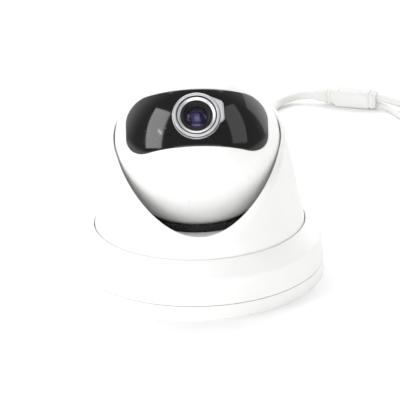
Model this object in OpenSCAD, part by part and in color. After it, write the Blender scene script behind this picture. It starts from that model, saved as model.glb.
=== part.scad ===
// Turret dome camera standing on its mounting base, lens towards -Y.
// Millimetres. The origin is the centre of the base plate's underside, +Z up.

/* [Base] */
// Radius of the base plate
base_r = 55; // [54:1:70]
// Height of the base plate's rim
base_h = 6.3; // [5.8:0.1:7]
// Thickness of the base plate's floor
plate_t = 2.4; // [2:0.1:3]
// Thickness of the base plate's rim
rim_t = 2.4; // [2:0.1:3]
// Radial width of the wall that the turret turns on
bearing_w = 3.8; // [3:0.1:5]
// Radius of the circle of ceiling screws
screw_circle_r = 35; // [30:0.5:37]
// Number of ceiling screws
screw_count = 3; // [3, 4]
// Radius of a ceiling screw's hole
screw_hole_r = 2.25; // [2:0.05:2.75]
// Radius of the hole for a cable from the ceiling
cable_hole_r = 9; // [8:0.5:10]

/* [Trim ring] */
// Wall thickness of the trim ring
trim_t = 2.2; // [1.8:0.1:2.6]
// Draft of the trim ring's outer wall
trim_draft = 1.1; // [0.5:0.1:2]
// Height where the trim ring's chamfer starts
trim_edge_z = 18; // [17:0.5:20]
// Height of the trim ring's top
trim_top_z = 24.8; // [24:0.1:27]
// Seam between the base plate and the trim ring
seam = 0.25; // [0.1:0.05:0.4]
// Radial gap between the trim ring and the turret
trim_gap = 0.45; // [0.3:0.05:0.8]
// Length of a bayonet lug along the ring, in degrees
lug_angle = 20; // [14:1:22]

/* [Turret housing] */
// Outer radius of the turret at the trim ring
foot_r = 46.6; // [44:0.1:47]
// Width of the foot that the trim ring holds down
foot_w = 4.2; // [3.5:0.1:4.6]
// Height of the foot's underside
foot_z = 15; // [14:0.1:15.5]
// Wall thickness of the turret at its foot
turret_wall = 3.4; // [2.8:0.1:4]
// Wall thickness of the socket beside the ball
socket_wall = 2.8; // [2.4:0.1:3.4]
// Gap between the ball and its socket
socket_gap = 0.5; // [0.4:0.05:0.7]
// Height of the slanted rim at the front
rim_front_z = 27.6; // [27:0.1:32]
// Height of the rim at the back
rim_back_z = 75; // [70:0.5:80]
// How far in front of the axis the rim levels out
rim_knee = 14; // [8:0.5:20]

/* [Ball seat] */
// Height of the seat's top face
seat_z = 28.4; // [28:0.1:29]
// Outer radius of the rubber seat ring
seat_ring_r = 25.5; // [24:0.1:28]
// Depth of the rubber seat ring in its groove
seat_ring_t = 2; // [1.5:0.1:2.4]
// How far the seat ring stands above the seat
seat_ring_proud = 2.5; // [1.5:0.1:3]
// Thickness of the retainer plate
retainer_t = 3.8; // [3.2:0.1:4.4]
// Width of the opening for the ball's lead at the back
lead_slot_w = 16; // [12:1:20]

/* [Ball] */
// Radius of the ball
ball_r = 36.5; // [35:0.1:37.2]
// Radius of the circle where the ball rests on its seat
contact_r = 18.61; // [18:0.01:19]
// Angle of the lens above the horizontal
lens_elev = 40; // [15:1:90]
// Wall thickness of the ball
shell_t = 2.8; // [2.4:0.1:3.2]
// How far the shells' joint lies behind the centre
shell_split = 9.5; // [7:0.5:12]
// Radius of the hole for the ball's lead
outlet_r = 4.2; // [3.6:0.1:5]
// Angle of that hole below the lens axis's back end
outlet_angle = 20; // [15:1:25]

/* [Window] */
// Width of the window
window_w = 61; // [56:0.5:62]
// Height of the window
window_h = 25.6; // [24:0.2:26.4]
// Corner radius of the window
window_corner = 9.5; // [6:0.5:11]
// Thickness of the window
window_t = 1.6; // [1.2:0.1:1.8]
// Thickness of the window's gasket
gasket_t = 0.4; // [0.3:0.05:0.5]
// Width of the ledge that carries the window
ledge_w = 2; // [1.5:0.1:2.5]

/* [Lens] */
// Radius of the bezel
bezel_r = 10.4; // [9.8:0.1:11]
// How far the bezel's tab reaches sideways
tab_reach = 11.9; // [11.6:0.1:12.6]
// How far the bezel stands out of the ball
bezel_proud = 1; // [0.6:0.1:1.4]
// Radius of the lens head
lens_head_r = 6.7; // [6.4:0.1:6.9]
// Radius of the lens barrel
barrel_r = 6; // [5.8:0.05:6]
// Radius of the front glass
glass_r = 4.6; // [4.2:0.1:4.8]
// Travel of the day and night filter
filter_travel = 7.5; // [7:0.1:8]

/* [Cables] */
// Radius of the main cable
cable_r = 2.2; // [2.2]
// Radius of the video lead
video_r = 1.9; // [1.9]
// Radius of the power lead
power_r = 1.3; // [1.3]
// Height and width of the junction body
junction_h = 9.2; // [8.6:0.1:9.4]

/* [Hidden] */
$fn = 96;
eps = 0.01;
cut = 1;                  // overshoot of a cut past a face
fit_gap = 0.1;            // clearance between fixed pieces
screw_r = 1.25;           // small assembly screws
screw_head_r = 2.2;
screw_head_h = 1.4;

trim_in_r = base_r - trim_t;
trim_edge_r = base_r - trim_draft;
trim_top_r = foot_r + trim_gap;
trim_slope = (trim_top_z - trim_edge_z) / (trim_edge_r - trim_top_r);
trim_drop = trim_t * sqrt(1 + trim_slope * trim_slope);
foot_gap = 0.9;           // vertical gap between the foot and the trim ring
ball_z = seat_z + sqrt(pow(ball_r, 2) - pow(contact_r, 2));
shoulder_r = ball_r + socket_gap + socket_wall;
cone_slope = (foot_r - shoulder_r) / (ball_z - trim_top_z);
socket_r = ball_r + socket_gap;
well_r = foot_r - turret_wall;
ring_wear = 0.15;         // clearance of the rubber ring round the ball
ring_inner_r = contact_r - 1.2;
boss_r = 3;
boss_circle_r = well_r - 4.6;
bearing_r = foot_r + foot_w - 2.2;
bearing_in_r = bearing_r - bearing_w;
friction_w = 2;
friction_h = 1.3;
hook_z = 9.5;
hook_t = 2;
lug_t = 2.2;
lug_gap = 0.3;
notch_w = 2 * (cable_r + 1.2);
notch_h = 5.4;
notch_y = 33;             // where the cable's channel through the floor starts
inner_r = ball_r - shell_t;
seal_r = sqrt(pow(ball_r, 2) - pow(shell_split, 2)) - 1.1;
seal_w = 0.8;
skin_gap = 0.03;          // keeps nested curved faces apart
window_in_r = ball_r - window_t;
shell_screw_z = 14;       // how far behind the ball's centre the shell screws' heads sit
lens_face_z = ball_r - 0.1;
lens_dish = 1.3;          // depth of the dished face round the front glass
lens_head_h = 6.4;
glass_z = lens_face_z - 2.8;
inner_glass_r = 1.9;
inner_glass_z = glass_z - 3.2;

sensor_z = 4.4;           // underside of the sensor board, from the ball's centre
board_t = 1.6;
sensor_board_r = 29;
board_hole_circle = 25;
led_z = 22.4;
led_x = 13.5;
led_w = 3.5;
led_board_w = 40;
led_board_h = 20;
led_post_x = 17;
led_post_y = 7;
main_z = -8;
main_board_r = 23;
post_circle = 20;
holder_w = 26;
holder_d = 18;
holder_top = 15;
tube_top = 19;
ear_r = 2.8;
ear_h = 4;
slot_z = 12.2;
slot_h = 1.8;
filter_t = 1.4;
filter_w = 10;
filter_len = 17;
filter_glass_r = 3;
mic_angle = 29.4;
mic_r = 3;
mic_h = 2.6;
mic_z = inner_r - 5.2;
mic_hole_r = 0.5;
mark_y = -19.4;
mark_w = 7.4;
mark_h = 3.6;
mark_proud = 0.4;

clamp_y = 30;
gland_y = base_r - rim_t;

// Routes of the free cables, chosen by hand
main_route = [
    [0, 8, 13], [0, 13, 9.6], [0, 19, 6.6], [0, 26, 5], [0, 33, 4.7], [0, 39, 3.5],
    [0, 46, 2.9], [0, 56, 2.9], [0, 64, 2.8], [0, 73, 2.5], [0.4, 84, 2.3],
    [2.4, 96, 2.3], [6, 107.5, 2.3], [11, 118.5, 2.3], [16.5, 129.5, 2.3],
    [21.8, 140.5, 2.3], [26.6, 152, 2.3], [30.8, 163.5, 2.3], [34.3, 175, 2.3],
    [37, 186.5, 2.3], [38.9, 196.5, 2.3], [40.8, 204.5, 2.3], [44.2, 211.3, 2.6],
    [49.6, 216.2, 3.2], [56.6, 218.4, 4], [64, 217, 4.6], [68.7, 215.4, 4.6]];
cable_height = [for (p = main_route) [p[1], p[2]]];
channel_h = lookup(bearing_in_r, cable_height) + cable_r + 0.3;
video_route = [
    [91.4, 207.6, 6], [97.1, 205.6, 5.9], [105, 202.4, 4.6], [113, 198.6, 2.8],
    [121.5, 193.8, 2], [129.5, 187.8, 2], [136.5, 180.4, 2], [142, 171.8, 3.2],
    [146, 162.4, 4.95], [148.6, 153, 4.95]];
power_route = [
    [91.4, 207.6, 2.3], [97.1, 205.6, 2.1], [101.6, 200.9, 1.6], [105, 194, 1.4],
    [107.6, 187.2, 1.4], [110, 180.2, 1.4], [112.4, 173.2, 1.4], [115, 166.2, 1.4],
    [117.8, 159.4, 2], [120.6, 152.6, 3.8], [123.2, 145.8, 5.05], [125.6, 139.4, 5.05]];
junction_at = [64, 217, 4.6];
junction_turn = -19;
junction_relief = 12;
junction_body_end = 30.5;
video_out = 1.4;          // the leads' exits above and below the junction's axis
power_out = 2.3;

// ---------- helpers ----------

// Puts children in the ball's own frame: its centre, +Z along the lens, +Y to the window's top.
module aim() {
    translate([0, 0, ball_z]) rotate([90 - lens_elev, 0, 0]) children();
}

module around(count, r, start = 0) {
    for (i = [0:count - 1]) rotate(start + i * 360 / count) translate([r, 0, 0]) children();
}

module tube(r_out, r_in, h) {
    difference() {
        cylinder(r = r_out, h = h);
        translate([0, 0, -cut]) cylinder(r = r_in, h = h + 2 * cut);
    }
}

// A ring of rectangular section over part of a turn.
module arc_block(r_in, r_out, z, h, angle) {
    translate([0, 0, z]) rotate(-angle / 2) rotate_extrude(angle = angle)
        translate([r_in, 0]) square([r_out - r_in, h]);
}

module rounded_rect(w, h, r) {
    square([w - 2 * r, h], center = true);
    square([w, h - 2 * r], center = true);
    for (x = [-1, 1], y = [-1, 1]) translate([x * (w / 2 - r), y * (h / 2 - r)]) circle(r = r);
}

// A small screw with its head's underside at z = 0 and its shank downwards.
module screw(length) {
    translate([0, 0, -length]) cylinder(r = screw_r, h = length + eps);
    difference() {
        cylinder(r = screw_head_r, h = screw_head_h);
        translate([0, 0, screw_head_h - 0.7]) cylinder(r = 1, h = 1, $fn = 6);
    }
}

function unit(v) = v / norm(v);
function tangent(p, i) = unit(p[min(i + 1, len(p) - 1)] - p[max(i - 1, 0)]);
function ring_points(p, i, r, n) =
    let (t = tangent(p, i), side = unit(cross(t, [0, 0, 1])), up = cross(side, t))
    [for (k = [0:n - 1]) p[i] + r * (cos(360 * k / n) * side + sin(360 * k / n) * up)];

// A cable: one ring of n points at each point of the route.
module cable(route, r, n) {
    points = [for (i = [0:len(route) - 1]) each ring_points(route, i, r, n)];
    last = (len(route) - 1) * n;
    sides = [for (i = [0:len(route) - 2], k = [0:n - 1])
        [i * n + k, i * n + (k + 1) % n, (i + 1) * n + (k + 1) % n, (i + 1) * n + k]];
    start_cap = [for (k = [n - 1:-1:0]) k];
    end_cap = [for (k = [0:n - 1]) last + k];
    polyhedron(points, concat([start_cap], sides, [end_cap]), convexity = 8);
}

// Places children at the end of a route with +Z running on along it.
module at_end(route) {
    t = tangent(route, len(route) - 1);
    translate(route[len(route) - 1]) rotate([0, acos(t[2]), atan2(t[1], t[0])]) children();
}

module at_junction() {
    translate(junction_at) rotate(junction_turn) rotate([0, 90, 0]) children();
}

// ---------- base ----------

module base_plate() {
    color("white") difference() {
        union() {
            cylinder(r = base_r, h = plate_t);
            tube(base_r, base_r - rim_t, base_h);
            tube(bearing_r, bearing_in_r, foot_z - 0.4);
            for (i = [0:2]) rotate(90 + i * 120)
                arc_block(bearing_r - eps, trim_in_r - 0.8, hook_z, hook_t, lug_angle + 4);
            for (i = [0:2]) rotate(90 + i * 120 - lug_angle / 2 - 5)
                arc_block(bearing_r - eps, trim_in_r - 0.8, base_h + 0.2,
                          hook_z + hook_t - base_h - 0.2, 3);
            around(screw_count, screw_circle_r, 30) cylinder(r = screw_hole_r + 2.2, h = plate_t + 1.6);
            for (x = [-1, 1]) translate([x * 6.5, clamp_y, 0]) cylinder(r = 2.8, h = 5);
        }
        translate([0, 0, foot_z - 0.4 - friction_h])
            tube(bearing_r - 0.9 + fit_gap, bearing_r - 0.9 - friction_w - fit_gap, friction_h + cut);
        translate([0, 0, -cut]) cylinder(r = cable_hole_r, h = plate_t + 2 * cut);
        around(screw_count, screw_circle_r, 30) translate([0, 0, -cut])
            cylinder(r = screw_hole_r, h = base_h + 2 * cut);
        translate([-notch_w / 2, notch_y, -cut]) cube([notch_w, base_r, notch_h + cut]);
        translate([-notch_w / 2, notch_y, -cut])
            cube([notch_w, bearing_r + cut - notch_y, channel_h + cut]);
        for (x = [-1, 1]) translate([x * 6.5, clamp_y, plate_t]) cylinder(r = screw_r, h = 8);
    }
}

module pan_friction_ring() {
    color("dimgray") translate([0, 0, foot_z - 0.4 - friction_h])
        tube(bearing_r - 0.9, bearing_r - 0.9 - friction_w, friction_h + 0.3);
}

module cable_clamp() {
    color("whitesmoke") difference() {
        translate([-9.5, clamp_y - 3, 5]) cube([19, 6, 4]);
        translate([0, clamp_y - 4, 4.9]) rotate([-90, 0, 0]) cylinder(r = cable_r + fit_gap, h = 8);
        for (x = [-1, 1]) translate([x * 6.5, clamp_y, 4]) cylinder(r = screw_r + fit_gap, h = 8);
    }
}

module clamp_screws() {
    color("silver") for (x = [-1, 1]) translate([x * 6.5, clamp_y, 9]) screw(6);
}

module cable_gland() {
    gland_z = lookup(gland_y, cable_height);
    color("gainsboro") difference() {
        union() {
            translate([-notch_w / 2 + fit_gap, gland_y - 1.4, 0.1])
                cube([notch_w - 2 * fit_gap, rim_t + 1.4 + 1.2, notch_h - 0.1 - fit_gap]);
            translate([0, base_r + 1, gland_z]) rotate([-90, 0, 0])
                cylinder(r1 = cable_r + 0.65, r2 = cable_r + 0.4, h = 12);
        }
        translate([0, gland_y - 5, gland_z]) rotate([-90, 0, 0])
            cylinder(r = cable_r + 0.2, h = 26);
    }
}

// ---------- trim ring ----------

module trim_ring() {
    color("white") {
        rotate_extrude() polygon([
            [trim_in_r, base_h + seam], [base_r, base_h + seam],
            [base_r - 0.15, base_h + seam + 3], [trim_edge_r, trim_edge_z],
            [trim_top_r, trim_top_z], [trim_top_r, trim_top_z - trim_drop],
            [trim_in_r, trim_inner_line(trim_in_r)]]);
        for (i = [0:2]) rotate(90 + i * 120)
            arc_block(bearing_r + 1.8, trim_in_r + eps, hook_z - lug_gap - lug_t, lug_t, lug_angle);
    }
}

function trim_inner_line(r) = trim_top_z - trim_drop - trim_slope * (r - trim_top_r);

// ---------- turret ----------

function cone_r(z) = foot_r - cone_slope * (z - trim_top_z);
function rim_y(t) = pow(1 - t, 2) * -foot_r - 2 * t * (1 - t) * rim_knee + t * t * foot_r;
function rim_z(t) = pow(1 - t, 2) * rim_front_z + (1 - pow(1 - t, 2)) * rim_back_z;

// Everything above the rim, as one block across the turret.
module above_rim() {
    steps = 24;
    reach = foot_r + 10;
    translate([reach, 0, 0]) rotate([90, 0, -90]) mirror([1, 0, 0])
        linear_extrude(height = 2 * reach) polygon(concat(
            [[-reach, rim_front_z]],
            [for (i = [0:steps]) [rim_y(i / steps), rim_z(i / steps)]],
            [[reach, rim_back_z], [reach, ball_z * 3], [-reach, ball_z * 3]]));
}

module turret_housing() {
    flange_r = foot_r + foot_w;
    color("white") difference() {
        union() {
            difference() {
                rotate_extrude() polygon([
                    [0, foot_z], [flange_r, foot_z],
                    [flange_r, trim_inner_line(flange_r) - foot_gap],
                    [foot_r, trim_inner_line(foot_r) - foot_gap], [foot_r, trim_top_z],
                    [cone_r(rim_back_z + 5), rim_back_z + 5], [0, rim_back_z + 5]]);
                rotate_extrude() polygon([
                    [0, foot_z - cut], [well_r, foot_z - cut], [well_r, seat_z],
                    [socket_r, ball_z], [0, ball_z]]);
            }
            intersection() {
                around(4, boss_circle_r, 45) translate([0, 0, seat_z + eps]) union() {
                    cylinder(r = boss_r, h = 6);
                    translate([0, -boss_r, 0]) cube([8, 2 * boss_r, 6]);
                }
                cylinder(r = well_r + 1, h = ball_z);
            }
        }
        translate([0, 0, ball_z]) sphere(r = socket_r);
        above_rim();
        around(4, boss_circle_r, 45) translate([0, 0, seat_z - cut])
            cylinder(r = screw_r, h = 6);
    }
}

module ball_retainer() {
    color("white") difference() {
        translate([0, 0, seat_z - retainer_t]) cylinder(r = well_r - fit_gap, h = retainer_t);
        translate([0, 0, seat_z - seat_ring_t]) cylinder(r = seat_ring_r + fit_gap, h = seat_ring_t + cut);
        translate([0, 0, seat_z - retainer_t - cut]) cylinder(r = seat_ring_r - 4, h = retainer_t + 2 * cut);
        translate([-lead_slot_w / 2, 0, seat_z - retainer_t - cut])
            cube([lead_slot_w, seat_ring_r + 9, retainer_t + 2 * cut]);
        around(4, boss_circle_r, 45) translate([0, 0, seat_z - retainer_t - cut])
            cylinder(r = screw_r + fit_gap, h = retainer_t + 2 * cut);
    }
}

module retainer_screws() {
    color("silver") around(4, boss_circle_r, 45) translate([0, 0, seat_z - retainer_t])
        mirror([0, 0, 1]) screw(retainer_t + 4);
}

module ball_friction_ring() {
    ring_h = seat_ring_t + seat_ring_proud;
    color("black") difference() {
        translate([0, 0, seat_z - seat_ring_t]) cylinder(r = seat_ring_r, h = ring_h);
        translate([0, 0, seat_z - seat_ring_t - cut]) cylinder(r = ring_inner_r, h = ring_h + 2 * cut);
        translate([0, 0, ball_z]) sphere(r = ball_r + ring_wear);
        translate([-lead_slot_w / 2, 0, seat_z - seat_ring_t - cut])
            cube([lead_slot_w, seat_ring_r + cut, ring_h + 2 * cut]);
    }
}

// ---------- ball ----------

module window_prism(grow) {
    linear_extrude(height = ball_r + 5)
        rounded_rect(window_w + 2 * grow, window_h + 2 * grow, window_corner + grow);
}

module bezel_outline(grow) {
    r = bezel_r + grow;
    x = tab_reach + grow;
    circle(r = r);
    polygon([[0, 0], (r - 0.15) * [cos(70), sin(70)], [x - 1.1, 6.4 + grow], [x - 0.3, 5.2 + grow],
             [x, -1.7 - grow], [x - 0.9, -2.7 - grow], (r - 0.3) * [cos(22), -sin(22)]]);
}

// Raised arrow that points to the camera's base.
module mark_outline() {
    polygon([[-mark_w / 2, mark_h / 2], [-mark_w / 6, mark_h / 2], [-mark_w / 6, mark_h / 2 + 2],
             [mark_w / 6, mark_h / 2 + 2], [mark_w / 6, mark_h / 2], [mark_w / 2, mark_h / 2],
             [0, -mark_h / 2]]);
}

// Shell bosses that carry the sensor board.
module board_bosses() {
    around(3, board_hole_circle, 90) translate([0, 0, sensor_z + board_t]) cylinder(r = 3, h = 22);
}

module shell_screw_places() {
    around(4, ball_r - shell_t - 3.6, 45) children();
}

module ball_front_shell() {
    reach = ball_r + 5;
    color("white") aim() difference() {
        union() {
            difference() {
                sphere(r = ball_r);
                sphere(r = inner_r);
            }
            intersection() {
                union() {
                    board_bosses();
                    shell_screw_places() translate([0, 0, -shell_split])
                        cylinder(r = 3, h = shell_split + sensor_z - 1);
                }
                sphere(r = inner_r + 0.5);
            }
            intersection() {
                translate([0, mark_y, 0]) linear_extrude(height = ball_r + 5) mark_outline();
                difference() {
                    sphere(r = ball_r + mark_proud);
                    sphere(r = ball_r - 0.5);
                }
            }
        }
        translate([-reach, -reach, -2 * ball_r - shell_split]) cube([2 * reach, 2 * reach, 2 * ball_r]);
        difference() {
            window_prism(fit_gap);
            sphere(r = window_in_r - gasket_t);
        }
        window_prism(-ledge_w);
        rotate([-mic_angle, 0, 0]) cylinder(r = mic_hole_r, h = reach);
        around(3, board_hole_circle, 90) translate([0, 0, sensor_z]) cylinder(r = screw_r, h = 9);
        shell_screw_places() translate([0, 0, -shell_split - cut]) cylinder(r = screw_r, h = 9);
        translate([0, 0, -shell_split - eps]) tube(seal_r + 0.1, seal_r - seal_w - 0.1, seal_w + 0.1);
    }
}

module shell_seal() {
    color("black") aim() translate([0, 0, -shell_split]) tube(seal_r, seal_r - seal_w, seal_w);
}

module ball_rear_shell() {
    reach = ball_r + 5;
    color("white") aim() difference() {
        union() {
            difference() {
                sphere(r = ball_r);
                sphere(r = inner_r);
            }
            intersection() {
                shell_screw_places() translate([0, 0, -ball_r]) cylinder(r = 3.4, h = ball_r - shell_split);
                sphere(r = ball_r - 0.4);
            }
        }
        translate([-reach, -reach, -shell_split]) cube([2 * reach, 2 * reach, 2 * ball_r]);
        rotate([180 - outlet_angle, 0, 0]) cylinder(r = outlet_r, h = ball_r + 5);
        shell_screw_places() translate([0, 0, -ball_r]) cylinder(r = screw_r + fit_gap, h = ball_r);
        shell_screw_places() translate([0, 0, -reach])
            cylinder(r = screw_head_r + 0.3, h = reach - shell_screw_z);
    }
}

module shell_screws() {
    color("silver") aim() shell_screw_places() translate([0, 0, -shell_screw_z])
        mirror([0, 0, 1]) screw(10);
}

module ball_grommet() {
    color("dimgray") aim() rotate([180 - outlet_angle, 0, 0]) difference() {
        union() {
            translate([0, 0, inner_r - 1.4]) cylinder(r = outlet_r - fit_gap, h = shell_t + 1.1);
            translate([0, 0, inner_r - 2.2]) cylinder(r = outlet_r + 1.2, h = 1.4);
        }
        translate([0, 0, inner_r - 4]) cylinder(r = cable_r, h = 12);
    }
}

module window() {
    color([0.12, 0.12, 0.13]) aim() difference() {
        intersection() {
            window_prism(0);
            difference() {
                sphere(r = ball_r);
                sphere(r = window_in_r);
            }
        }
        linear_extrude(height = ball_r + 5) bezel_outline(fit_gap);
    }
}

module window_gasket() {
    color("dimgray") aim() difference() {
        intersection() {
            window_prism(0);
            difference() {
                sphere(r = window_in_r - skin_gap);
                sphere(r = window_in_r - gasket_t + skin_gap);
            }
        }
        window_prism(-ledge_w);
    }
}

module lens_bezel() {
    foot = window_in_r - 3.6;
    top = ball_r + bezel_proud;
    bore_r = lens_head_r + 0.2;
    ring_r = bezel_r - 0.5;
    ring_w = 1.2;
    color("silver") aim() difference() {
        union() {
            translate([0, 0, foot]) linear_extrude(height = top - 1.1 - foot) bezel_outline(0);
            translate([0, 0, foot]) cylinder(r = ring_r, h = top - foot);
        }
        translate([0, 0, foot - cut]) cylinder(r = bore_r, h = 12);
        translate([0, 0, top - 1.2]) cylinder(r1 = bore_r, r2 = bore_r + 1.1, h = 0.7);
        translate([0, 0, top - 0.5]) cylinder(r = ring_r - ring_w, h = 0.5 + cut);
        translate([0, 0, top - 1.1]) tube(ring_r - ring_w, ring_r - ring_w - 0.5, 1);
        translate([0, 0, top - 1.4]) tube(ring_r + 0.25, ring_r, 2);
    }
}

module lens_barrel() {
    head_z = lens_face_z - lens_head_h;
    color([0.08, 0.08, 0.09]) aim() difference() {
        union() {
            translate([0, 0, holder_top + 0.2]) cylinder(r = barrel_r, h = head_z - holder_top);
            translate([0, 0, head_z]) cylinder(r = lens_head_r, h = lens_face_z - head_z);
        }
        translate([0, 0, lens_face_z - lens_dish])
            cylinder(r1 = glass_r + 0.3, r2 = lens_head_r - 0.9, h = lens_dish + eps);
        translate([0, 0, glass_z]) cylinder(r = glass_r, h = 3);
        translate([0, 0, inner_glass_z + 0.8])
            cylinder(r1 = inner_glass_r + 0.8, r2 = glass_r - 0.4, h = glass_z - inner_glass_z - 0.8 + eps);
        translate([0, 0, inner_glass_z]) cylinder(r = inner_glass_r, h = 3);
        translate([0, 0, holder_top]) cylinder(r = barrel_r - 2, h = 3);
    }
}

module lens_glass() {
    dome_r = 9;
    color([0.35, 0.3, 0.55]) aim() intersection() {
        translate([0, 0, glass_z]) cylinder(r = glass_r, h = 4);
        translate([0, 0, lens_face_z - 0.5 - dome_r]) sphere(r = dome_r);
    }
}

module inner_glass() {
    dome_r = 3;
    color([0.3, 0.35, 0.6]) aim() intersection() {
        translate([0, 0, inner_glass_z]) cylinder(r = inner_glass_r, h = 2);
        translate([0, 0, inner_glass_z + 1.5 - dome_r]) sphere(r = dome_r);
    }
}

module lens_lock_ring() {
    color("goldenrod") aim() translate([0, 0, tube_top]) tube(barrel_r + 2.4, barrel_r + 0.02, 1.8);
}

// The two ears that screw the lens holder to the sensor board.
module holder_ears() {
    for (s = [-1, 1]) translate([0, s * (holder_d / 2 + 2.4), 0]) children();
}

module lens_holder() {
    floor_z = sensor_z + board_t;
    color([0.1, 0.1, 0.1]) aim() difference() {
        union() {
            translate([-holder_w / 2, -holder_d / 2, floor_z])
                cube([holder_w, holder_d, holder_top - floor_z]);
            cylinder(r = barrel_r + 2, h = tube_top);
            holder_ears() translate([0, 0, floor_z]) cylinder(r = ear_r, h = ear_h);
        }
        translate([0, 0, -cut]) cylinder(r = barrel_r + 2 + cut, h = floor_z + cut);
        translate([0, 0, holder_top]) cylinder(r = barrel_r + 0.02, h = 10);
        translate([0, 0, floor_z - cut]) cylinder(r = barrel_r - 0.8, h = 20);
        translate([-6, -6, floor_z - cut]) cube([12, 12, 3.4 + cut]);
        translate([-holder_w, -filter_w / 2 - 0.2, slot_z]) cube([2 * holder_w, filter_w + 0.4, slot_h]);
        holder_ears() translate([0, 0, floor_z - cut]) cylinder(r = screw_r, h = ear_h);
    }
}

module holder_screws() {
    color("silver") aim() holder_ears() translate([0, 0, sensor_z]) mirror([0, 0, 1]) screw(4);
}

// The three posts that join the sensor board to the main board.
module board_posts() {
    around(3, post_circle, 30) children();
}

module sensor_board() {
    color("darkgreen") aim() difference() {
        translate([0, 0, sensor_z]) cylinder(r = sensor_board_r, h = board_t);
        around(3, board_hole_circle, 90) translate([0, 0, sensor_z - cut])
            cylinder(r = screw_r + 0.2, h = board_t + 2 * cut);
        board_posts() translate([0, 0, sensor_z - cut]) cylinder(r = screw_r, h = 4);
        holder_ears() translate([0, 0, sensor_z - cut]) cylinder(r = screw_r + 0.1, h = board_t + 2 * cut);
    }
}

module image_sensor() {
    color([0.2, 0.22, 0.3]) aim() translate([-5, -5, sensor_z + board_t]) cube([10, 10, 1.2]);
}

module board_screws() {
    color("silver") aim() {
        around(3, board_hole_circle, 90) translate([0, 0, sensor_z]) mirror([0, 0, 1]) screw(6);
        board_posts() translate([0, 0, main_z]) mirror([0, 0, 1]) screw(4);
    }
}

module led_board() {
    color("white") aim() difference() {
        translate([-led_board_w / 2, -led_board_h / 2, led_z]) cube([led_board_w, led_board_h, board_t]);
        translate([0, 0, led_z - cut]) cylinder(r = lens_head_r + 0.8, h = 4);
        for (s = [-1, 1]) translate([s * led_post_x, s * led_post_y, led_z - cut]) cylinder(r = 1, h = 4);
    }
}

module led_posts() {
    color("goldenrod") aim() for (s = [-1, 1]) translate([s * led_post_x, s * led_post_y, 0]) {
        translate([0, 0, sensor_z + board_t]) cylinder(r = 2.2, h = led_z - sensor_z - board_t, $fn = 6);
        translate([0, 0, led_z]) cylinder(r = 0.9, h = board_t);
        translate([0, 0, led_z + board_t]) cylinder(r = 1.7, h = 1);
    }
}

module led_emitters() {
    color("khaki") aim() for (s = [-1, 1])
        translate([s * led_x - led_w / 2, -led_w / 2, led_z + board_t]) cube([led_w, led_w, 0.8]);
}

module led_lenses() {
    color([0.8, 0.85, 0.9]) aim() for (s = [-1, 1]) translate([s * led_x, 0, led_z + board_t]) difference() {
        intersection() {
            cylinder(r = 4.2, h = 5);
            translate([0, 0, -1]) sphere(r = 5.6);
        }
        translate([-led_w / 2 - 0.2, -led_w / 2 - 0.2, -cut]) cube([led_w + 0.4, led_w + 0.4, 0.9 + cut]);
    }
}

module light_sensor() {
    color("silver") aim() translate([-17.6, 6.4, led_z + board_t]) cylinder(r = 1.5, h = 2);
}

module microphone() {
    color("silver") aim() rotate([-mic_angle, 0, 0]) translate([0, 0, mic_z]) cylinder(r = mic_r, h = mic_h);
}

module microphone_boot() {
    color("black") aim() rotate([-mic_angle, 0, 0]) difference() {
        intersection() {
            translate([0, 0, mic_z - 0.6]) cylinder(r = mic_r + 0.8, h = 8);
            sphere(r = inner_r - skin_gap);
        }
        translate([0, 0, mic_z]) cylinder(r = mic_r, h = mic_h);
        cylinder(r = mic_hole_r, h = ball_r);
    }
}

module main_board() {
    color("darkgreen") aim() difference() {
        translate([0, 0, main_z]) cylinder(r = main_board_r, h = board_t);
        board_posts() translate([0, 0, main_z - cut]) cylinder(r = screw_r + 0.1, h = 4);
    }
}

module board_standoffs() {
    color("goldenrod") aim() board_posts() difference() {
        translate([0, 0, main_z + board_t]) cylinder(r = 2.6, h = sensor_z - main_z - board_t, $fn = 6);
        translate([0, 0, main_z + board_t - cut]) cylinder(r = screw_r, h = 5);
    }
}

module board_connector() {
    color("ivory") aim() translate([-6, -3, main_z - 6]) difference() {
        cube([12, 6, 6]);
        translate([0.8, 0.8, -cut]) cube([10.4, 4.4, 5]);
    }
}

// ---------- day and night filter ----------

module filter_slide() {
    color([0.15, 0.15, 0.16]) aim() translate([0, 0, slot_z + (slot_h - filter_t) / 2]) difference() {
        translate([-filter_travel - filter_w / 2 + 0.5, -filter_w / 2, 0])
            cube([filter_len, filter_w, filter_t]);
        for (x = [0, -filter_travel]) translate([x, 0, -cut])
            cylinder(r = filter_glass_r, h = filter_t + 2 * cut);
    }
}

module filter_glasses() {
    color([0.55, 0.75, 0.8]) aim() for (x = [0, -filter_travel])
        translate([x, 0, slot_z + (slot_h - filter_t) / 2 + 0.4]) cylinder(r = filter_glass_r, h = 0.6);
}

// ---------- cables ----------

module main_cable() {
    color("whitesmoke") cable(main_route, cable_r, 12);
}

module cable_sleeve() {
    back = unit(main_route[0] - main_route[1]);
    color("black") translate(main_route[0]) rotate([0, acos(back[2]), atan2(back[1], back[0])])
        cylinder(r1 = cable_r + 0.2, r2 = cable_r - 0.6, h = 5);
}

module junction_relief() {
    color("whitesmoke") at_junction() difference() {
        union() {
            cylinder(r1 = 2.8, r2 = 3.7, h = junction_relief - 1.2);
            for (z = [6.4:2:10]) translate([0, 0, z]) cylinder(r = 3.9, h = 0.9);
            translate([0, 0, junction_relief - 1.6]) cylinder(r = 4.2, h = 1.6);
        }
        translate([0, 0, -cut]) cylinder(r = cable_r + 0.05, h = 5 + cut);
    }
}

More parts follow.
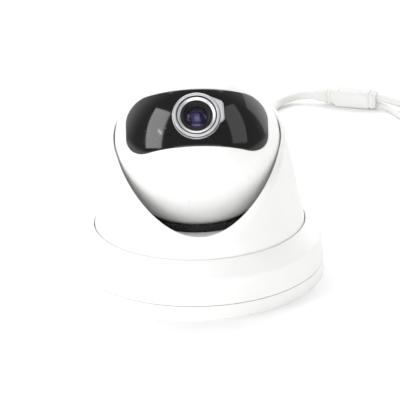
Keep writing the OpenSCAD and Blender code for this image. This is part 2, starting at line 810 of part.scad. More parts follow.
module junction_body() {
    half = junction_h / 2;
    color("whitesmoke") at_junction() difference() {
        union() {
            translate([0, 0, junction_relief]) linear_extrude(height = junction_body_end - junction_relief)
                rounded_rect(junction_h, junction_h, 2.2);
            translate([0, 0, junction_body_end]) linear_extrude(height = 1.2)
                rounded_rect(junction_h - 1, junction_h - 1, 1.8);
            translate([0, 0, junction_body_end + 1.2]) linear_extrude(height = 1)
                rounded_rect(junction_h - 0.3, junction_h - 0.3, 1.8);
            translate([0, 0, junction_body_end + 2.2]) linear_extrude(height = 1.3)
                rounded_rect(junction_h - 1.2, junction_h - 1.2, 1.6);
        }
        for (z = [14, 25.5], y = [-1, 1]) translate([-half - cut, y * 2.4, z]) rotate([0, 90, 0])
            cylinder(r = 0.5, h = 0.6 + cut);
        translate([-video_out, 0, junction_body_end - 2]) cylinder(r = video_r + 0.1, h = 8);
        translate([power_out, 0, junction_body_end - 2]) cylinder(r = power_r + 0.1, h = 8);
    }
}

module video_lead() {
    color("whitesmoke") cable(video_route, video_r, 8);
}

module power_lead() {
    color("whitesmoke") cable(power_route, power_r, 8);
}

module bnc_socket() {
    color("silver") at_end(video_route) difference() {
        union() {
            cylinder(r1 = 3, r2 = 4.6, h = 11);
            translate([0, 0, 11]) cylinder(r = 4.9, h = 4);
            translate([0, 0, 15]) cylinder(r = 4.4, h = 2);
            translate([0, 0, 17]) cylinder(r = 4.8, h = 9);
            for (s = [90, 270]) rotate(s) translate([4.4, 0, 22]) rotate([0, 90, 0])
                cylinder(r = 0.9, h = 1.1);
        }
        translate([0, 0, 18]) tube(4.05, 1.6, 9);
        translate([0, 0, 20]) cylinder(r = 0.6, h = 9);
    }
}

module dc_socket() {
    color([0.12, 0.12, 0.12]) at_end(power_route) difference() {
        union() {
            cylinder(r1 = 2.2, r2 = 3.4, h = 10);
            translate([0, 0, 10]) cylinder(r = 5, h = 14);
        }
        translate([0, 0, 14.5]) tube(2.8, 1.05, 10);
    }
}

base_plate();
pan_friction_ring();
cable_clamp();
clamp_screws();
cable_gland();
trim_ring();
turret_housing();
ball_retainer();
retainer_screws();
ball_friction_ring();
ball_front_shell();
ball_rear_shell();
shell_seal();
shell_screws();
ball_grommet();
window();
window_gasket();
lens_bezel();
lens_barrel();
lens_glass();
inner_glass();
lens_lock_ring();
lens_holder();
holder_screws();
sensor_board();
image_sensor();
board_screws();
led_board();
led_posts();
led_emitters();
led_lenses();
light_sensor();
microphone();
microphone_boot();
main_board();
board_standoffs();
board_connector();
filter_slide();
filter_glasses();
main_cable();
cable_sleeve();
junction_relief();
junction_body();
video_lead();
power_lead();
bnc_socket();
dc_socket();
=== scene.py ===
import math

import bmesh
import bpy
import numpy as np
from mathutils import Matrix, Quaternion, Vector


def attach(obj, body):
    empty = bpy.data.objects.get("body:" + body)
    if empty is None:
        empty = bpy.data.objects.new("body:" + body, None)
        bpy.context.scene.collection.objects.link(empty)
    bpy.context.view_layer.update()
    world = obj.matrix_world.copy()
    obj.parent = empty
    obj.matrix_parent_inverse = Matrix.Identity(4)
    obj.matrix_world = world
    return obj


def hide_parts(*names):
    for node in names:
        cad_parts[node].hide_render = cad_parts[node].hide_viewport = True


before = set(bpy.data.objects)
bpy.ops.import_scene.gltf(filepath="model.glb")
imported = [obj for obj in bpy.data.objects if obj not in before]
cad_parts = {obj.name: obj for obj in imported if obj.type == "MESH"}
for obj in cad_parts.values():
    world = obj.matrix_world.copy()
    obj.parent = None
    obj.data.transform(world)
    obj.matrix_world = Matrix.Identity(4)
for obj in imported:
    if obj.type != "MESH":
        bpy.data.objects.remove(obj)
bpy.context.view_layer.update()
scene = bpy.context.scene
scene.view_settings.view_transform = "Standard"
print("camera model loaded:", len(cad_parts), "nodes")

mm = 0.001  # sizes are in millimetres unless a note says metres

# the camera looks at a point a little below the middle of the dome
cameraView = {"target": (0, 0, 0.045), "distance": 1.0, "elevation": 21.33, "roll": -1.74,
              "focal": 203.6, "sensor": 36, "near": 0.05, "far": 20, "drop": 0.0109, "side": 0.0004}


def makeCamera(values):
    tilt = math.radians(values["elevation"])
    back = Vector((0, -math.cos(tilt), math.sin(tilt)))
    upward = Vector((0, math.sin(tilt), math.cos(tilt)))
    data = bpy.data.cameras.new("camera")
    data.lens, data.sensor_width = values["focal"], values["sensor"]
    data.clip_start, data.clip_end = values["near"], values["far"]
    camera = bpy.data.objects.new("camera", data)
    scene.collection.objects.link(camera)
    target = Vector(values["target"])
    camera.location = target + back * values["distance"]
    aimPoint = target - upward * values["drop"] + Vector((values["side"], 0, 0))
    camera.rotation_mode = "QUATERNION"
    turn = (aimPoint - camera.location).to_track_quat("-Z", "Y")
    camera.rotation_quaternion = turn
    camera.rotation_mode = "XYZ"
    camera.rotation_euler.rotate_axis("Z", math.radians(values["roll"]))
    scene.camera = camera


makeCamera(cameraView)

weldDistance = 1e-6  # points nearer than this, in metres, become one


# evenly spaced angles round a whole turn
def fullTurn(columns):
    return np.linspace(0, 2 * np.pi, columns, endpoint=False)


# one ring of points round the upright axis; radius and height may change over the turn
def ringPoints(turn, radius, height):
    return np.stack([radius * np.cos(turn), radius * np.sin(turn), height + 0 * turn], axis=1)


# quadratic Bezier curve: t runs from 0 at the start to 1 at the end, pulled to the corner
def bend(start, corner, end, t):
    return (1 - t) ** 2 * start + 2 * t * (1 - t) * corner + t ** 2 * end


# an open strip of outlines gets its two ends, each closed to the outline's middle point
def cappedStrip(strip):
    ends = [np.repeat(g.mean(0)[None, None], strip.shape[1], axis=1) for g in (strip[0], strip[-1])]
    return np.concatenate([ends[0], strip, ends[1]]), False, True


# puts a finished mesh into the scene, smooth shaded and on its body, and hides the CAD nodes it stands for
def placePiece(name, mesh, body, stands, sharp):
    mesh.shade_smooth()
    mesh.set_sharp_from_angle(angle=math.radians(sharp))
    piece = bpy.data.objects.new(name, mesh)
    scene.collection.objects.link(piece)
    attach(piece, body)
    if stands:
        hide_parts(*stands)
    return piece


# a closed or open grid of points becomes quads, each with its corners' rows and columns
def gridFaces(rows, columns, closeRows, closeColumns, first):
    i, j = np.meshgrid(np.arange(rows - (not closeRows)), np.arange(columns - (not closeColumns)),
                       indexing="ij")
    i, j = i.ravel(), j.ravel()
    nextRow, nextColumn = (i + 1) % rows, (j + 1) % columns
    quads = np.stack([i * columns + j, nextRow * columns + j,
                      nextRow * columns + nextColumn, i * columns + nextColumn], axis=1) + first
    corners = np.stack([i, j, i + 1, j, i + 1, j + 1, i, j + 1], axis=1).reshape(-1, 4, 2)
    return quads, corners


# grids: list of (points of shape rows x columns x 3 in millimetres, rows closed, columns closed)
def surfacePiece(name, body, material, grids, stands=(), sharp=40):
    points, faces, uvs, first = [], [], [], 0
    for grid, closeRows, closeColumns in grids:
        rows, columns = grid.shape[:2]
        quads, corners = gridFaces(rows, columns, closeRows, closeColumns, first)
        steps = np.linalg.norm(np.diff(grid, axis=0), axis=2).mean(1)
        along = np.concatenate([[0], np.cumsum(steps), [steps.sum() + steps.mean()]])
        uvs.append(np.stack([corners[:, :, 1] / columns, along[corners[:, :, 0]] * mm], axis=2))
        points.append(grid.reshape(-1, 3) * mm)
        faces.append(quads)
        first += rows * columns
    mesh = bpy.data.meshes.new(name)
    faces = np.concatenate(faces)
    mesh.from_pydata(np.concatenate(points).tolist(), [], faces.tolist())
    layer = mesh.uv_layers.new(name="surface")
    layer.data.foreach_set("uv", np.concatenate(uvs).astype(np.float32).ravel())
    work = bmesh.new()
    work.from_mesh(mesh)
    bmesh.ops.remove_doubles(work, verts=work.verts, dist=weldDistance)
    bmesh.ops.recalc_face_normals(work, faces=work.faces)
    work.to_mesh(mesh)
    work.free()
    mesh.materials.append(material)
    return placePiece(name, mesh, body, stands, sharp)


# a corner becomes a quadratic curve whose ends lie the given distance along both sides
def roundedProfile(corners, steps=5):
    points = np.array([c[:2] for c in corners], float)
    radii = [c[2] if len(c) > 2 else 0 for c in corners]
    made = []
    for i, radius in enumerate(radii):
        here = points[i]
        if radius == 0:
            made.append(here[None])
            continue
        start, end = (here + (other - here) / np.linalg.norm(other - here) * radius
                      for other in (points[i - 1], points[(i + 1) % len(points)]))
        made.append(bend(start, here, end, np.linspace(0, 1, steps)[:, None]))
    return np.concatenate(made)


# a closed profile of (radius, height) turned about the upright axis
def latheGrid(profile, columns=256, centre=(0, 0)):
    turn = fullTurn(columns)
    radius, height = profile[:, :1], profile[:, 1:]
    x = centre[0] + radius * np.cos(turn)
    y = centre[1] + radius * np.sin(turn)
    return np.stack([x, y, height + 0 * x], axis=2), True, True


# Catmull-Rom curve through the points: each stretch is a cubic with the neighbours' slope
def smoothLine(points, perStretch):
    p = np.array(points, float)
    p = np.concatenate([2 * p[:1] - p[1:2], p, 2 * p[-1:] - p[-2:-1]])
    t = np.linspace(0, 1, perStretch, endpoint=False)[None, :, None]
    a, b, c, d = p[:-3, None], p[1:-2, None], p[2:-1, None], p[3:, None]
    curve = 0.5 * (2 * b + (c - a) * t + (2 * a - 5 * b + 4 * c - d) * t ** 2
                   + (3 * b - a - 3 * c + d) * t ** 3)
    return np.concatenate([curve.reshape(-1, 3), p[-2:-1]])


# a circle of the given radius carried along a line, with its side kept level
def tubeGrid(line, radius, columns=28):
    along = np.gradient(line, axis=0)
    along /= np.linalg.norm(along, axis=1, keepdims=True)
    side = np.cross(along, [0, 0, 1])
    side /= np.linalg.norm(side, axis=1, keepdims=True)
    above = np.cross(side, along)
    turn = fullTurn(columns)[None, :, None]
    width = np.broadcast_to(np.asarray(radius, float), (len(line),))[:, None, None]
    grid = line[:, None] + width * (np.cos(turn) * side[:, None] + np.sin(turn) * above[:, None])
    first = np.repeat(line[:1, None], columns, axis=1)
    last = np.repeat(line[-1:, None], columns, axis=1)
    return np.concatenate([first, grid, last]), False, True


# sRGB hex to linear: divide by 12.92 below 0.04045, else ((c + 0.055) / 1.055) to the power 2.4
def linearColour(code):
    parts = [int(code[i:i + 2], 16) / 255 for i in (1, 3, 5)]
    return [c / 12.92 if c <= 0.04045 else ((c + 0.055) / 1.055) ** 2.4 for c in parts] + [1.0]


# adds a node, sets what settings name, and joins what links name
def addNode(tree, kind, settings=None, links=None):
    node = tree.nodes.new("ShaderNode" + kind)
    for key, value in (settings or {}).items():
        if isinstance(key, int) or key in node.inputs:
            node.inputs[key].default_value = value
        else:
            setattr(node, key, value)
    for key, source in (links or {}).items():
        tree.links.new(source, node.inputs[key])
    return node


# an empty material, its tree, and the place of each point on the piece
def newMaterial(name):
    material = bpy.data.materials.new(name)
    material.use_nodes = True
    tree = material.node_tree
    tree.nodes.clear()
    return material, tree, addNode(tree, "TexCoord").outputs["Object"]


# cloudy noise whose features are about the given number of millimetres wide
def cloud(tree, place, size, detail=2.0, roughness=0.5):
    return addNode(tree, "TexNoise", {"Scale": 1 / (size * mm), "Detail": detail,
                                      "Roughness": roughness}, {"Vector": place}).outputs["Fac"]


# from the first value to the second, as the pattern goes from low to high
def spread(tree, pattern, between, low=0.3, high=0.7):
    return addNode(tree, "MapRange", {"From Min": low, "From Max": high, "To Min": between[0],
                                      "To Max": between[1]}, {"Value": pattern}).outputs["Result"]


# sockets of the Mix node when it mixes colours
mixSockets = {"share": 0, "first": 6, "second": 7, "result": 2}


# each of the two is a hex colour or another node's output
def mixColours(tree, share, first, second):
    settings, links = {"data_type": "RGBA"}, {mixSockets["share"]: share}
    for key, colour in (("first", first), ("second", second)):
        if isinstance(colour, str):
            settings[mixSockets[key]] = linearColour(colour)
        else:
            links[mixSockets[key]] = colour
    return addNode(tree, "Mix", settings, links).outputs[mixSockets["result"]]


# relief of the given height, in millimetres, from a pattern
def relief(tree, pattern, strength, height):
    return addNode(tree, "Bump", {"Strength": strength, "Distance": height * mm},
                   {"Height": pattern}).outputs["Normal"]


# the surface shader and its way to the output
def finishMaterial(material, tree, settings, colour, gloss, normal=None, metallic=None):
    links = {"Base Color": colour, "Roughness": gloss, "Normal": normal, "Metallic": metallic}
    shader = addNode(tree, "BsdfPrincipled", settings,
                     {key: source for key, source in links.items() if source is not None})
    addNode(tree, "OutputMaterial", {}, {"Surface": shader.outputs["BSDF"]})
    return material


# moulded plastic: a fine spark-eroded grain, slow drifts of tone and gloss, faint handling marks
def mouldedPlastic(name, values):
    material, tree, place = newMaterial(name)
    grain = cloud(tree, place, values["grain"], 3.0, 0.6)
    drift = cloud(tree, place, values["drift"])
    marks = cloud(tree, place, values["marks"], 5.0, 0.7)
    return finishMaterial(material, tree, {"IOR": values["ior"]},
                          mixColours(tree, drift, values["colour"], values["shade"]),
                          spread(tree, marks, values["rough"]),
                          relief(tree, grain, values["depth"], values["grain"]))


# moulded white ABS of the housing: satin, with a grain just felt by a nail
whiteAbs = mouldedPlastic("whiteMouldedAbs", {
    "colour": "#f7f7f6", "shade": "#f1f1ef", "grain": 0.35, "drift": 18, "marks": 2.5,
    "depth": 0.12, "rough": (0.34, 0.46), "ior": 1.53})
# the ball's ABS comes from a finer tool and shines a little more
whiteBallAbs = mouldedPlastic("whitePolishedAbs", {
    "colour": "#f7f7f6", "shade": "#f2f2f0", "grain": 0.25, "drift": 20, "marks": 3,
    "depth": 0.06, "rough": (0.26, 0.36), "ior": 1.53})
# cable jacket: soft PVC drawn over the cores, a little duller and greyer than the housing
cablePvc = mouldedPlastic("whiteExtrudedPvc", {
    "colour": "#efefed", "shade": "#e4e4e0", "grain": 0.3, "drift": 9, "marks": 1.5,
    "depth": 0.15, "rough": (0.38, 0.52), "ior": 1.54})
# PVC moulded over the junction and the gland, with a coarser grain
mouldPvc = mouldedPlastic("whiteOvermouldedPvc", {
    "colour": "#eeeeec", "shade": "#e5e5e2", "grain": 0.4, "drift": 8, "marks": 2,
    "depth": 0.2, "rough": (0.42, 0.55), "ior": 1.54})
# inner parts of black nylon, matt from its glass fibres
blackNylon = mouldedPlastic("blackGlassFilledNylon", {
    "colour": "#18181a", "shade": "#202022", "grain": 0.3, "drift": 6, "marks": 1.2,
    "depth": 0.3, "rough": (0.45, 0.6), "ior": 1.53})
# the board connector's unfilled nylon, warm and slightly shiny
ivoryNylon = mouldedPlastic("ivoryMouldedNylon", {
    "colour": "#ece6d2", "shade": "#e2dbc4", "grain": 0.3, "drift": 4, "marks": 1.2,
    "depth": 0.2, "rough": (0.4, 0.5), "ior": 1.53})
print("plastics made")

cordShape = {"cableRadius": 2.2, "videoRadius": 1.9, "powerRadius": 1.3, "steps": 6,
             "insideSteps": 5}
# the cable's way through the base, then over the floor to the junction
insideRoute = [[0, 8, 13], [0, 13, 9.6], [0, 19, 6.6], [0, 26, 5], [0, 33, 4.7], [0, 39, 3.5],
               [0, 46, 2.9], [0, 52, 2.9], [0, 56, 2.9]]
mainRoute = [
    [0, 55, 2.9], [0, 59, 2.88], [0, 64, 2.8], [0, 73, 2.5], [0.4, 84, 2.3],
    [2.4, 96, 2.3], [6, 107.5, 2.3], [11, 118.5, 2.3], [16.5, 129.5, 2.3],
    [21.8, 140.5, 2.3], [26.6, 152, 2.3], [30.8, 163.5, 2.3], [34.3, 175, 2.3],
    [37, 186.5, 2.3], [38.9, 196.5, 2.3], [40.8, 204.5, 2.3], [44.2, 211.3, 2.6],
    [49.6, 216.2, 3.2], [56.6, 218.4, 4], [64, 217, 4.6], [68.7, 215.4, 4.6]]
videoRoute = [
    [91.4, 207.6, 6], [97.1, 205.6, 5.9], [105, 202.4, 4.6], [113, 198.6, 2.8],
    [121.5, 193.8, 2], [129.5, 187.8, 2], [136.5, 180.4, 2], [142, 171.8, 3.2],
    [146, 162.4, 4.95], [148.6, 153, 4.95]]
powerRoute = [
    [91.4, 207.6, 2.3], [97.1, 205.6, 2.1], [101.6, 200.9, 1.6], [105, 194, 1.4],
    [107.6, 187.2, 1.4], [110, 180.2, 1.4], [112.4, 173.2, 1.4], [115, 166.2, 1.4],
    [117.8, 159.4, 2], [120.6, 152.6, 3.8], [123.2, 145.8, 5.05], [125.6, 139.4, 5.05]]


def makeCord(name, node, route, radius):
    line = smoothLine(route, cordShape["steps"])
    piece = surfacePiece(name, "base", cablePvc, [tubeGrid(line, radius)],
                         stands=[node])


insideLine = smoothLine(insideRoute, cordShape["insideSteps"])
surfacePiece("cableInBase", "base", cablePvc, [tubeGrid(insideLine, cordShape["cableRadius"])],
             stands=["main_cable"])


# the lens axis points forward and rises by the elevation; the window's long side stays level
ballShape = {"centreHeight": 59.8, "radius": 36.5, "wall": 2.8, "split": 9.5, "elevation": 40,
             "edgeBevel": 0.45, "columns": 480, "outerRows": 60, "innerRows": 40, "bevelRows": 7,
             "grooveInset": 1, "grooveWidth": 1, "grooveDepth": 0.9}
# posts in the front shell: how far from the lens axis they stand, and their heights along it;
# a post's top and side may go into the wall by the last two lengths of postShape
ballPosts = {"boardPosts": {"angles": (90, 210, 330), "reach": 25, "bottom": 6, "top": 23.5},
             "shellPosts": {"angles": (45, 135, 225, 315), "reach": 30.1, "bottom": -9.5, "top": 3.4}}
postShape = {"radius": 3, "bore": 1.25, "columns": 24, "topInWall": 0.4, "sideInWall": 0.5}
windowShape = {"width": 61, "height": 25.6, "corner": 9.5, "thick": 1.6, "ledge": 2,
               "gasket": 0.4, "gap": 0.1, "edge": 0.25, "columns": 720, "rows": 26}
bezelShape = {"radius": 10.4, "proud": 1, "bore": 6.9, "foot": 3.6, "flangeDrop": 1.1, "rimRound": 0.25,
              "ring": 9.9, "ringWidth": 1.2, "ringRound": 0.42, "edgeRound": 0.08,
              "grooveWidth": 0.25, "grooveDepth": 1.4, "innerGrooveWidth": 0.5, "innerGrooveDepth": 1.1,
              "stepDrop": 0.5, "coneWidth": 1.1, "coneDepth": 1.2}
# the bezel's side tab: it leaves the circle at two angles, and its corners lie the given
# distance back from its reach, at the given height
bezelTab = {"reach": 11.9, "upperAngle": 70, "upperInset": 0.15, "lowerAngle": -22, "lowerInset": 0.3,
            "corners": ((1.1, 6.4), (0.3, 5.2), (0, -1.7), (0.9, -2.7))}

lean = math.radians(90 - ballShape["elevation"])
aimAxes = np.array([[1, 0, 0], [0, math.cos(lean), math.sin(lean)],
                    [0, -math.sin(lean), math.cos(lean)]])
ballCentre = np.array([0, 0, ballShape["centreHeight"]])


# from the ball's own frame, lens along z, to the row frame
def aimed(points):
    return points @ aimAxes + ballCentre


tiny = 1e-9  # keeps a division away from zero


# distance from the middle to a rounded rectangle's edge in each direction
def roundedOutline(turn, shape):
    halfWidth, halfHeight, corner = shape["width"] / 2, shape["height"] / 2, shape["corner"]
    c, s = np.abs(np.cos(turn)), np.abs(np.sin(turn))
    flat = np.minimum(halfWidth / np.maximum(c, tiny), halfHeight / np.maximum(s, tiny))
    centreX, centreY = halfWidth - corner, halfHeight - corner
    along = c * centreX + s * centreY
    inside = np.maximum(along ** 2 - (centreX ** 2 + centreY ** 2 - corner ** 2), 0)
    rounded = along + np.sqrt(inside)
    inCorner = (rounded * c > centreX) & (rounded * s > centreY)
    return np.where(inCorner, rounded, flat)


# how far a star-shaped outline of straight edges reaches in each direction from the middle
def outlineReach(turn, corners):
    c, s = np.cos(turn), np.sin(turn)
    best = np.zeros_like(turn)
    for start, end in zip(corners, np.roll(corners, -1, axis=0)):
        edge = end - start
        cross = c * edge[1] - s * edge[0]
        cross = np.where(np.abs(cross) < tiny, tiny, cross)
        far = (start[0] * edge[1] - start[1] * edge[0]) / cross
        share = (start[0] * s - start[1] * c) / cross
        best = np.where((share >= 0) & (share <= 1) & (far > best), far, best)
    return best


# the farther of a circle and the side tab
def bezelOutline(turn, grow):
    radius, reach = bezelShape["radius"] + grow, bezelTab["reach"] + grow
    upper, lower = ((radius - bezelTab[side + "Inset"]) * np.array([math.cos(angle), math.sin(angle)])
                    for side, angle in (("upper", math.radians(bezelTab["upperAngle"])),
                                        ("lower", math.radians(bezelTab["lowerAngle"]))))
    corners = [(reach - back, height + math.copysign(grow, height)) for back, height in bezelTab["corners"]]
    return np.maximum(outlineReach(turn, np.array([(0, 0), upper, *corners, lower])), radius)


# rings of (distance from the lens axis, sphere radius), each an array over the turn
def shellGrid(turn, rings):
    return np.array([ringPoints(turn, distance, np.sqrt(np.maximum(sphere ** 2 - distance ** 2, 0)))
                     for distance, sphere in rings])


# a round screw post with a bore, at an angle round the axis and the given reach from it
def postGrid(bottom, top, angle, reach):
    bore, radius = postShape["bore"], postShape["radius"]
    section = np.array([[bore, bottom], [radius, bottom], [radius, top], [bore, top]])
    return latheGrid(section, postShape["columns"], (reach * math.cos(angle), reach * math.sin(angle)))


def makeBall(ball, window):
    turn = fullTurn(ball["columns"])
    outline = roundedOutline(turn, window)
    hole, ledge = outline + window["gap"], outline - window["ledge"]
    outer, inner = ball["radius"], ball["radius"] - ball["wall"]
    ledgeSphere = outer - window["thick"] - window["gasket"]
    bevel, split = ball["edgeBevel"], -ball["split"]

    # from the split up over the sphere to the window's edge, by equal steps of angle
    def overSphere(sphere, distance, steps):
        first = math.acos(split / sphere)
        last = np.arcsin(np.minimum(distance / sphere, 1))
        angle = first + (last - first) * np.linspace(0, 1, steps)[:, None]
        return np.stack([sphere * np.sin(angle) * np.cos(turn), sphere * np.sin(angle) * np.sin(turn),
                         sphere * np.cos(angle)], axis=2)

    roll = [(hole + bevel * (1 - t) ** 2, outer - bevel * t ** 2)
            for t in np.linspace(0, 1, ball["bevelRows"])[1:]]
    rim, depth = math.sqrt(outer ** 2 - split ** 2) - ball["grooveInset"], split + ball["grooveDepth"]
    groove = [(rim - ball["grooveWidth"], split), (rim - ball["grooveWidth"], depth),
              (rim, depth), (rim, split)]
    parts = [overSphere(outer, hole + bevel, ball["outerRows"]),
             shellGrid(turn, roll + [(hole, ledgeSphere), (ledge, ledgeSphere), (ledge, inner)]),
             overSphere(inner, ledge, ball["innerRows"])[::-1],
             np.array([ringPoints(turn, distance, height) for distance, height in groove])]
    grids = [(aimed(np.concatenate(parts)), True, True)]
    sideLimit = inner + postShape["sideInWall"]
    for posts in ballPosts.values():
        reach = posts["reach"]
        limit = math.sqrt((inner + postShape["topInWall"]) ** 2 - (reach + postShape["radius"]) ** 2)
        for angle in np.radians(posts["angles"]):
            post = postGrid(posts["bottom"], min(posts["top"], limit), angle, reach)[0]
            # what would come through the wall is pulled back into it
            distance = np.linalg.norm(post[:, :, :2], axis=2)
            allowed = np.sqrt(np.maximum(sideLimit ** 2 - post[:, :, 2] ** 2, 0))
            post[:, :, :2] *= np.minimum(1, allowed / np.maximum(distance, tiny))[:, :, None]
            grids.append((aimed(post), True, True))
    surfacePiece("ballFrontShell", "ball", whiteBallAbs, grids,
                 stands=["ball_front_shell"], sharp=50)


def makeWindow(window, ball):
    turn = fullTurn(window["columns"])
    outline = roundedOutline(turn, window)
    inside = bezelOutline(turn, window["gap"])
    outer, inner, edge = ball["radius"], ball["radius"] - window["thick"], window["edge"]
    share = np.linspace(0, 1, window["rows"])
    face = [(inside + (outline - edge - inside) * s, outer) for s in share]
    roll = [(outline - edge * (1 - s) ** 2, outer - edge * s ** 2) for s in (0.25, 0.5, 0.75, 1)]
    back = [(outline + (inside - outline) * s, inner) for s in share[::2]]
    surfacePiece("window", "ball", windowGloss, [(aimed(shellGrid(turn, face + roll + back)), True, True)],
                 stands=["window"], sharp=35)


def makeBezel(bezel, ball, window):
    turn = fullTurn(window["columns"])
    top = ball["radius"] + bezel["proud"]
    foot = ball["radius"] - window["thick"] - bezel["foot"]
    flange, outline = top - bezel["flangeDrop"], bezelOutline(turn, 0)
    ring, inner, bore = bezel["ring"], bezel["ring"] - bezel["ringWidth"], bezel["bore"]
    outerEdge, outerDepth = ring + bezel["grooveWidth"], top - bezel["grooveDepth"]
    innerEdge, innerDepth = inner - bezel["innerGrooveWidth"], top - bezel["innerGrooveDepth"]
    step, ringRound, edgeRound = top - bezel["stepDrop"], bezel["ringRound"], bezel["edgeRound"]
    # flange, groove, raised round ring, groove, flat step and the cone down to the bore
    profile = roundedProfile([
        (outerEdge, flange, edgeRound), (outerEdge, outerDepth), (ring, outerDepth),
        (ring, top, ringRound), (inner, top, ringRound), (inner, innerDepth), (innerEdge, innerDepth),
        (innerEdge, step, edgeRound), (bore + bezel["coneWidth"], step, 0.06),
        (bore, top - bezel["coneDepth"], edgeRound), (bore, foot)], 6)
    rims = [(outline, foot), (outline, flange - bezel["rimRound"]), (outline - 0.06, flange - edgeRound),
            (outline - bezel["rimRound"], flange)]
    grid = np.array([ringPoints(turn, radius, height) for radius, height in rims + list(profile)])
    surfacePiece("lensBezel", "ball", bezelSilver, [(aimed(grid), True, True)],
                 stands=["lens_bezel"], sharp=35)


lensShape = {"head": 6.7, "barrel": 6, "glass": 4.6, "face": 36.4, "headHeight": 6.4, "rim": 0.9,
             "headRound": 0.25, "rimRound": 0.08, "seatWidth": 0.3, "dish": 1.3, "dishRows": 16,
             "dishTooth": 0.06, "mouthInset": 0.4, "throatWider": 0.8, "throatRows": 25,
             "throatTooth": 0.07, "tubeBottom": 15.2, "rearDepth": 2.8, "rearWall": 2,
             "glassDepth": 2.8, "glassRecess": 0.5, "domeRadius": 9,
             "innerGlass": 1.9, "innerDepth": 6, "innerRise": 1.5, "innerDome": 3,
             "glassRows": 24, "axisHole": 0.002}


# a lens of glass: a spherical top over a straight side and a flat back
def glassGrid(radius, bottom, top, dome, columns=128):
    angle = np.linspace(0, math.asin(radius / dome), lensShape["glassRows"])
    hole = lensShape["axisHole"]
    face = np.stack([np.maximum(dome * np.sin(angle), hole), top - dome + dome * np.cos(angle)], axis=1)
    grid = latheGrid(np.concatenate([face, [[radius, bottom], [hole, bottom]]]), columns)[0]
    return [(aimed(grid), True, True)]


def makeLens(lens):
    face, dish, barrel, inner = lens["face"], lens["dish"], lens["barrel"], lens["innerGlass"]
    wide, narrow = lens["head"] - lens["rim"], lens["glass"] + lens["seatWidth"]
    glassBottom, innerBottom = face - lens["glassDepth"], face - lens["innerDepth"]
    headBottom, tubeBottom = face - lens["headHeight"], lens["tubeBottom"]
    # the dish and the throat step down in fine baffles, each a small saw tooth on the slope
    share = np.linspace(0, 1, lens["dishRows"])
    tooth = np.where(np.arange(lens["dishRows"]) % 3 == 1, lens["dishTooth"], 0.0)
    slope = np.stack([wide + (narrow - wide) * share, face - dish * share + tooth], axis=1)
    mouth, throat = lens["glass"] - lens["mouthInset"], inner + lens["throatWider"]
    share = np.linspace(0, 1, lens["throatRows"])
    tooth = lens["throatTooth"] * (np.arange(lens["throatRows"]) % 2)
    depth = innerBottom + lens["throatWider"]
    throatSlope = np.stack([mouth + (throat - mouth) * share + tooth,
                            glassBottom + (depth - glassBottom) * share], axis=1)
    head = roundedProfile([(barrel, tubeBottom), (barrel, headBottom), (lens["head"], headBottom),
                           (lens["head"], face, lens["headRound"]), (wide + 0.01, face, lens["rimRound"])])
    seat = [[narrow, face - dish - 0.02], [lens["glass"], face - dish - 0.05],
            [lens["glass"], glassBottom]]
    rear, rearRadius = tubeBottom + lens["rearDepth"], barrel - lens["rearWall"]
    low = [[inner, depth], [inner, innerBottom], [0.01, innerBottom], [0.01, rear],
           [rearRadius, rear], [rearRadius, tubeBottom]]
    grid = latheGrid(np.concatenate([head, slope, seat, throatSlope, low]), 192)[0]
    surfacePiece("lensBarrel", "ball", lensBlack, [(aimed(grid), True, True)],
                 stands=["lens_barrel"], sharp=25)
    surfacePiece("lensGlass", "ball", frontGlass,
                 glassGrid(lens["glass"], glassBottom, face - lens["glassRecess"], lens["domeRadius"]),
                 stands=["lens_glass"], sharp=50)
    surfacePiece("innerGlass", "ball", innerCoated,
                 glassGrid(inner, innerBottom, innerBottom + lens["innerRise"], lens["innerDome"], 96),
                 stands=["inner_glass"], sharp=50)


# how far out each ring of the arrow lies, and how high, as shares of its reach and its height
arrowMark = {"centre": -19.4, "width": 7.4, "height": 3.6, "stem": 2, "proud": 0.4, "columns": 360,
             "rings": ((0.003, 1), (0.35, 1), (0.7, 1), (0.86, 1), (0.92, 0.96), (0.96, 0.85),
                       (0.985, 0.6), (1, 0), (1, -0.6), (0.5, -0.6), (0.003, -0.6))}


# the arrow's outline in polar steps from its middle, raised with a rounded edge
def makeArrow(mark, ball):
    w, h, stem = mark["width"], mark["height"], mark["stem"]
    corners = np.array([(-w / 2, h / 2), (-w / 6, h / 2), (-w / 6, h / 2 + stem), (w / 6, h / 2 + stem),
                        (w / 6, h / 2), (w / 2, h / 2), (0, -h / 2)])
    middle = h / 2 - 0.5
    turn = fullTurn(mark["columns"])
    reach = outlineReach(turn, corners - [0, middle])
    grid = []
    for share, lift in mark["rings"]:
        x = reach * share * np.cos(turn)
        y = mark["centre"] + middle + reach * share * np.sin(turn)
        sphere = ball["radius"] + mark["proud"] * lift
        grid.append(np.stack([x, y, np.sqrt(sphere ** 2 - x ** 2 - y ** 2)], axis=1))
    surfacePiece("raisedArrow", "ball", whiteBallAbs, [(aimed(np.array(grid)), True, True)],
                 sharp=60)


turretShape = {"foot": 46.6, "flange": 50.8, "footHeight": 15, "wall": 3.4, "socket": 37.0,
               "seat": 28.4, "rimFront": 27.6, "rimBack": 75, "knee": 14, "slope": 0.194,
               "outerRoll": 1.3, "innerRoll": 0.9, "flangeGap": 0.9, "wallStart": 0.2,
               "columns": 480, "wallRows": 14, "outerRows": 7, "innerRows": 6, "insideRows": 22,
               "bossAngles": (45, 135, 225, 315), "bossInset": 4.6, "bossBottom": 28.41,
               "bossTop": 34.4}
trimShape = {"inner": 52.6, "outer": 55, "top": 24.8, "topRadius": 47.05, "edge": 18,
             "edgeRadius": 53.9, "bottom": 6.55, "thick": 2.2, "columns": 360,
             "lugAngles": (90, 210, 330), "lugHalfAngle": 10, "lugInner": 50.4, "lugOuter": 52.65,
             "lugBottom": 7, "lugTop": 9.2, "lugRows": 16}
trimSlope = ((trimShape["top"] - trimShape["edge"])
             / (trimShape["edgeRadius"] - trimShape["topRadius"]))
